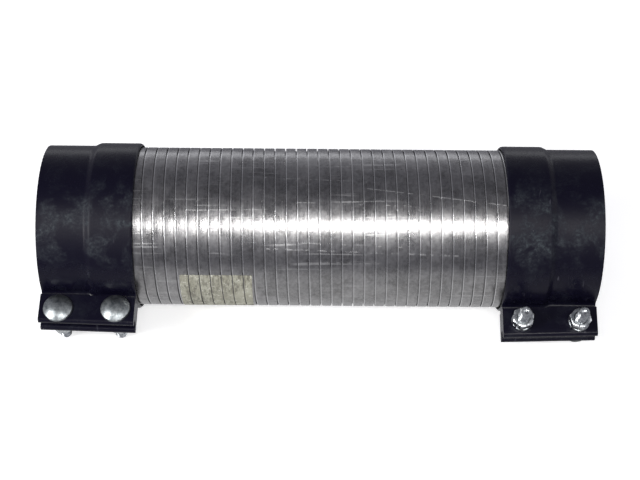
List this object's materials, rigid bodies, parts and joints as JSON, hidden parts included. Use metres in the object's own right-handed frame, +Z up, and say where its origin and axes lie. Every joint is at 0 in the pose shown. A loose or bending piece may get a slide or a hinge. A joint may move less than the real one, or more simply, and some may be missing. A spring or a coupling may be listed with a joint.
{
  "type": "flexible exhaust joint",
  "caption": "Straight length of interlocked metal hose with a stepped two-bolt band clamp on each end.",
  "frame": {"origin": "middle of the left socket's mouth, on the hose axis", "axes": "+X along the hose from the left socket to the right one, +Z up, clamp ears towards -Y and down"},
  "size_m": [0.45, 0.161, 0.1376],
  "materials": {
    "hose_strip": "bare stainless strip, satin with lengthwise scuffs",
    "black_paint": "gloss black paint, dusty and lightly scratched",
    "zinc": "dull zinc plate",
    "nut_zinc": "bright zinc plate",
    "paper": "aged beige paper label, with no writing"
  },
  "bodies": {
    "left_clamp": {"left_clamp_band": "black_paint", "left_head_bar": "black_paint", "left_nut_bar": "black_paint", "left_spacer_block": "black_paint", "left_bolt_outer": "zinc", "left_bolt_inner": "zinc"},
    "hose_end_left": {"hose_end_left": "hose_strip"},
    "hose_turn_01": {"hose_turn_01": "hose_strip"},
    "hose_turn_02": {"hose_turn_02": "hose_strip"},
    "hose_turn_03": {"hose_turn_03": "hose_strip"},
    "hose_turn_04": {"hose_turn_04": "hose_strip"},
    "hose_turn_05": {"hose_turn_05": "hose_strip"},
    "hose_turn_06": {"hose_turn_06": "hose_strip"},
    "hose_turn_07": {"hose_turn_07": "hose_strip"},
    "hose_turn_08": {"hose_turn_08": "hose_strip"},
    "hose_turn_09": {"hose_turn_09": "hose_strip"},
    "hose_turn_10": {"hose_turn_10": "hose_strip"},
    "hose_turn_11": {"hose_turn_11": "hose_strip"},
    "hose_turn_12": {"hose_turn_12": "hose_strip"},
    "hose_turn_13": {"hose_turn_13": "hose_strip"},
    "hose_turn_14": {"hose_turn_14": "hose_strip"},
    "hose_turn_15": {"hose_turn_15": "hose_strip"},
    "hose_turn_16": {"hose_turn_16": "hose_strip"},
    "hose_turn_17": {"hose_turn_17": "hose_strip"},
    "hose_turn_18": {"hose_turn_18": "hose_strip"},
    "hose_turn_19": {"hose_turn_19": "hose_strip"},
    "hose_turn_20": {"hose_turn_20": "hose_strip"},
    "hose_turn_21": {"hose_turn_21": "hose_strip"},
    "hose_turn_22": {"hose_turn_22": "hose_strip"},
    "hose_turn_23": {"hose_turn_23": "hose_strip"},
    "hose_turn_24": {"hose_turn_24": "hose_strip"},
    "hose_turn_25": {"hose_turn_25": "hose_strip"},
    "hose_turn_26": {"hose_turn_26": "hose_strip"},
    "hose_turn_27": {"hose_turn_27": "hose_strip"},
    "hose_turn_28": {"hose_turn_28": "hose_strip"},
    "hose_turn_29": {"hose_turn_29": "hose_strip"},
    "hose_turn_30": {"hose_turn_30": "hose_strip"},
    "hose_turn_31": {"hose_turn_31": "hose_strip"},
    "hose_turn_32": {"hose_turn_32": "hose_strip"},
    "hose_turn_33": {"hose_turn_33": "hose_strip"},
    "hose_end_right": {"hose_end_right": "hose_strip"},
    "right_clamp": {"right_clamp_band": "black_paint", "right_head_bar": "black_paint", "right_nut_bar": "black_paint", "right_spacer_block": "black_paint", "right_bolt_outer": "zinc", "right_bolt_inner": "zinc"},
    "left_washer_outer": {"left_washer_outer": "zinc"},
    "left_nut_outer": {"left_nut_outer": "nut_zinc"},
    "left_washer_inner": {"left_washer_inner": "zinc"},
    "left_nut_inner": {"left_nut_inner": "nut_zinc"},
    "right_washer_outer": {"right_washer_outer": "zinc"},
    "right_nut_outer": {"right_nut_outer": "nut_zinc"},
    "right_washer_inner": {"right_washer_inner": "zinc"},
    "right_nut_inner": {"right_nut_inner": "nut_zinc"}
  },
  "joints": [
    {"name": "left_clamp_turn", "type": "hinge", "parent": "left_clamp", "child": "hose_end_left", "pos_m": [0.06, 0, 0], "axis": [1, 0, 0], "continuous": true},
    {"name": "hose_bend_up", "type": "hinge", "parent": "hose_end_left", "child": "hose_turn_01", "pos_m": [0.0778, 0, 0], "axis": [0, -1, 0], "range_deg": [-0.65, 0.65]},
    {"name": "hose_bend_side", "type": "hinge", "parent": "hose_turn_01", "child": "hose_turn_02", "pos_m": [0.0866, 0, 0], "axis": [0, 0, 1], "range_deg": [-0.65, 0.65]},
    {"name": "hose_stretch", "type": "slide", "parent": "hose_turn_02", "child": "hose_turn_03", "axis": [1, 0, 0], "range_m": [-0.0007, 0.0007]},
    {"name": "hose_bend_up_02", "type": "hinge", "parent": "hose_turn_03", "child": "hose_turn_04", "pos_m": [0.1042, 0, 0], "axis": [0, -1, 0], "range_deg": [-0.65, 0.65]},
    {"name": "hose_bend_side_02", "type": "hinge", "parent": "hose_turn_04", "child": "hose_turn_05", "pos_m": [0.113, 0, 0], "axis": [0, 0, 1], "range_deg": [-0.65, 0.65]},
    {"name": "hose_stretch_02", "type": "slide", "parent": "hose_turn_05", "child": "hose_turn_06", "axis": [1, 0, 0], "range_m": [-0.0007, 0.0007]},
    {"name": "hose_bend_up_03", "type": "hinge", "parent": "hose_turn_06", "child": "hose_turn_07", "pos_m": [0.1306, 0, 0], "axis": [0, -1, 0], "range_deg": [-0.65, 0.65]},
    {"name": "hose_bend_side_03", "type": "hinge", "parent": "hose_turn_07", "child": "hose_turn_08", "pos_m": [0.1394, 0, 0], "axis": [0, 0, 1], "range_deg": [-0.65, 0.65]},
    {"name": "hose_stretch_03", "type": "slide", "parent": "hose_turn_08", "child": "hose_turn_09", "axis": [1, 0, 0], "range_m": [-0.0007, 0.0007]},
    {"name": "hose_bend_up_04", "type": "hinge", "parent": "hose_turn_09", "child": "hose_turn_10", "pos_m": [0.157, 0, 0], "axis": [0, -1, 0], "range_deg": [-0.65, 0.65]},
    {"name": "hose_bend_side_04", "type": "hinge", "parent": "hose_turn_10", "child": "hose_turn_11", "pos_m": [0.1658, 0, 0], "axis": [0, 0, 1], "range_deg": [-0.65, 0.65]},
    {"name": "hose_stretch_04", "type": "slide", "parent": "hose_turn_11", "child": "hose_turn_12", "axis": [1, 0, 0], "range_m": [-0.0007, 0.0007]},
    {"name": "hose_bend_up_05", "type": "hinge", "parent": "hose_turn_12", "child": "hose_turn_13", "pos_m": [0.1834, 0, 0], "axis": [0, -1, 0], "range_deg": [-0.65, 0.65]},
    {"name": "hose_bend_side_05", "type": "hinge", "parent": "hose_turn_13", "child": "hose_turn_14", "pos_m": [0.1922, 0, 0], "axis": [0, 0, 1], "range_deg": [-0.65, 0.65]},
    {"name": "hose_stretch_05", "type": "slide", "parent": "hose_turn_14", "child": "hose_turn_15", "axis": [1, 0, 0], "range_m": [-0.0007, 0.0007]},
    {"name": "hose_bend_up_06", "type": "hinge", "parent": "hose_turn_15", "child": "hose_turn_16", "pos_m": [0.2098, 0, 0], "axis": [0, -1, 0], "range_deg": [-0.65, 0.65]},
    {"name": "hose_bend_side_06", "type": "hinge", "parent": "hose_turn_16", "child": "hose_turn_17", "pos_m": [0.2186, 0, 0], "axis": [0, 0, 1], "range_deg": [-0.65, 0.65]},
    {"name": "hose_stretch_06", "type": "slide", "parent": "hose_turn_17", "child": "hose_turn_18", "axis": [1, 0, 0], "range_m": [-0.0007, 0.0007]},
    {"name": "hose_bend_up_07", "type": "hinge", "parent": "hose_turn_18", "child": "hose_turn_19", "pos_m": [0.2362, 0, 0], "axis": [0, -1, 0], "range_deg": [-0.65, 0.65]},
    {"name": "hose_bend_side_07", "type": "hinge", "parent": "hose_turn_19", "child": "hose_turn_20", "pos_m": [0.245, 0, 0], "axis": [0, 0, 1], "range_deg": [-0.65, 0.65]},
    {"name": "hose_stretch_07", "type": "slide", "parent": "hose_turn_20", "child": "hose_turn_21", "axis": [1, 0, 0], "range_m": [-0.0007, 0.0007]},
    {"name": "hose_bend_up_08", "type": "hinge", "parent": "hose_turn_21", "child": "hose_turn_22", "pos_m": [0.2626, 0, 0], "axis": [0, -1, 0], "range_deg": [-0.65, 0.65]},
    {"name": "hose_bend_side_08", "type": "hinge", "parent": "hose_turn_22", "child": "hose_turn_23", "pos_m": [0.2714, 0, 0], "axis": [0, 0, 1], "range_deg": [-0.65, 0.65]},
    {"name": "hose_stretch_08", "type": "slide", "parent": "hose_turn_23", "child": "hose_turn_24", "axis": [1, 0, 0], "range_m": [-0.0007, 0.0007]},
    {"name": "hose_bend_up_09", "type": "hinge", "parent": "hose_turn_24", "child": "hose_turn_25", "pos_m": [0.289, 0, 0], "axis": [0, -1, 0], "range_deg": [-0.65, 0.65]},
    {"name": "hose_bend_side_09", "type": "hinge", "parent": "hose_turn_25", "child": "hose_turn_26", "pos_m": [0.2978, 0, 0], "axis": [0, 0, 1], "range_deg": [-0.65, 0.65]},
    {"name": "hose_stretch_09", "type": "slide", "parent": "hose_turn_26", "child": "hose_turn_27", "axis": [1, 0, 0], "range_m": [-0.0007, 0.0007]},
    {"name": "hose_bend_up_10", "type": "hinge", "parent": "hose_turn_27", "child": "hose_turn_28", "pos_m": [0.3154, 0, 0], "axis": [0, -1, 0], "range_deg": [-0.65, 0.65]},
    {"name": "hose_bend_side_10", "type": "hinge", "parent": "hose_turn_28", "child": "hose_turn_29", "pos_m": [0.3242, 0, 0], "axis": [0, 0, 1], "range_deg": [-0.65, 0.65]},
    {"name": "hose_stretch_10", "type": "slide", "parent": "hose_turn_29", "child": "hose_turn_30", "axis": [1, 0, 0], "range_m": [-0.0007, 0.0007]},
    {"name": "hose_bend_up_11", "type": "hinge", "parent": "hose_turn_30", "child": "hose_turn_31", "pos_m": [0.3418, 0, 0], "axis": [0, -1, 0], "range_deg": [-0.65, 0.65]},
    {"name": "hose_bend_side_11", "type": "hinge", "parent": "hose_turn_31", "child": "hose_turn_32", "pos_m": [0.3506, 0, 0], "axis": [0, 0, 1], "range_deg": [-0.65, 0.65]},
    {"name": "hose_stretch_11", "type": "slide", "parent": "hose_turn_32", "child": "hose_turn_33", "axis": [1, 0, 0], "range_m": [-0.0007, 0.0007]},
    {"name": "hose_bend_up_12", "type": "hinge", "parent": "hose_turn_33", "child": "hose_end_right", "pos_m": [0.3682, 0, 0], "axis": [0, -1, 0], "range_deg": [-0.65, 0.65]},
    {"name": "right_clamp_turn", "type": "hinge", "parent": "hose_end_right", "child": "right_clamp", "pos_m": [0.39, 0, 0], "axis": [1, 0, 0], "continuous": true},
    {"name": "left_washer_outer_slide", "type": "slide", "parent": "left_clamp", "child": "left_washer_outer", "axis": [0, 0.4003, -0.9164], "range_m": [0, 0.012]},
    {"name": "left_nut_outer_turn", "type": "hinge", "parent": "left_washer_outer", "child": "left_nut_outer", "pos_m": [0.01525, -0.07587, -0.03315], "axis": [0, 0.4003, -0.9164], "range_deg": [0, 2880]},
    {"name": "left_washer_inner_slide", "type": "slide", "parent": "left_clamp", "child": "left_washer_inner", "axis": [0, 0.4003, -0.9164], "range_m": [0, 0.012]},
    {"name": "left_nut_inner_turn", "type": "hinge", "parent": "left_washer_inner", "child": "left_nut_inner", "pos_m": [0.06125, -0.07587, -0.03315], "axis": [0, 0.4003, -0.9164], "range_deg": [0, 2880]},
    {"name": "right_washer_outer_slide", "type": "slide", "parent": "right_clamp", "child": "right_washer_outer", "axis": [0, -0.5519, 0.8339], "range_m": [0, 0.012]},
    {"name": "right_nut_outer_turn", "type": "hinge", "parent": "right_washer_outer", "child": "right_nut_outer", "pos_m": [0.43475, -0.06905, -0.0457], "axis": [0, -0.5519, 0.8339], "range_deg": [0, 2880]},
    {"name": "right_washer_inner_slide", "type": "slide", "parent": "right_clamp", "child": "right_washer_inner", "axis": [0, -0.5519, 0.8339], "range_m": [0, 0.012]},
    {"name": "right_nut_inner_turn", "type": "hinge", "parent": "right_washer_inner", "child": "right_nut_inner", "pos_m": [0.38875, -0.06905, -0.0457], "axis": [0, -0.5519, 0.8339], "range_deg": [0, 2880]}
  ],
  "couplings": [
    {"joint": "hose_bend_up_02", "follows": "hose_bend_up", "ratio": 1},
    {"joint": "hose_bend_side_02", "follows": "hose_bend_side", "ratio": 1},
    {"joint": "hose_stretch_02", "follows": "hose_stretch", "ratio": 1},
    {"joint": "hose_bend_up_03", "follows": "hose_bend_up", "ratio": 1},
    {"joint": "hose_bend_side_03", "follows": "hose_bend_side", "ratio": 1},
    {"joint": "hose_stretch_03", "follows": "hose_stretch", "ratio": 1},
    {"joint": "hose_bend_up_04", "follows": "hose_bend_up", "ratio": 1},
    {"joint": "hose_bend_side_04", "follows": "hose_bend_side", "ratio": 1},
    {"joint": "hose_stretch_04", "follows": "hose_stretch", "ratio": 1},
    {"joint": "hose_bend_up_05", "follows": "hose_bend_up", "ratio": 1},
    {"joint": "hose_bend_side_05", "follows": "hose_bend_side", "ratio": 1},
    {"joint": "hose_stretch_05", "follows": "hose_stretch", "ratio": 1},
    {"joint": "hose_bend_up_06", "follows": "hose_bend_up", "ratio": 1},
    {"joint": "hose_bend_side_06", "follows": "hose_bend_side", "ratio": 1},
    {"joint": "hose_stretch_06", "follows": "hose_stretch", "ratio": 1},
    {"joint": "hose_bend_up_07", "follows": "hose_bend_up", "ratio": 1},
    {"joint": "hose_bend_side_07", "follows": "hose_bend_side", "ratio": 1},
    {"joint": "hose_stretch_07", "follows": "hose_stretch", "ratio": 1},
    {"joint": "hose_bend_up_08", "follows": "hose_bend_up", "ratio": 1},
    {"joint": "hose_bend_side_08", "follows": "hose_bend_side", "ratio": 1},
    {"joint": "hose_stretch_08", "follows": "hose_stretch", "ratio": 1},
    {"joint": "hose_bend_up_09", "follows": "hose_bend_up", "ratio": 1},
    {"joint": "hose_bend_side_09", "follows": "hose_bend_side", "ratio": 1},
    {"joint": "hose_stretch_09", "follows": "hose_stretch", "ratio": 1},
    {"joint": "hose_bend_up_10", "follows": "hose_bend_up", "ratio": 1},
    {"joint": "hose_bend_side_10", "follows": "hose_bend_side", "ratio": 1},
    {"joint": "hose_stretch_10", "follows": "hose_stretch", "ratio": 1},
    {"joint": "hose_bend_up_11", "follows": "hose_bend_up", "ratio": 1},
    {"joint": "hose_bend_side_11", "follows": "hose_bend_side", "ratio": 1},
    {"joint": "hose_stretch_11", "follows": "hose_stretch", "ratio": 1},
    {"joint": "hose_bend_up_12", "follows": "hose_bend_up", "ratio": 1},
    {"joint": "left_washer_outer_slide", "follows": "left_nut_outer_turn", "m_per_rad": 0.00023873},
    {"joint": "left_washer_inner_slide", "follows": "left_nut_inner_turn", "m_per_rad": 0.00023873},
    {"joint": "right_washer_outer_slide", "follows": "right_nut_outer_turn", "m_per_rad": 0.00023873},
    {"joint": "right_washer_inner_slide", "follows": "right_nut_inner_turn", "m_per_rad": 0.00023873}
  ]
}
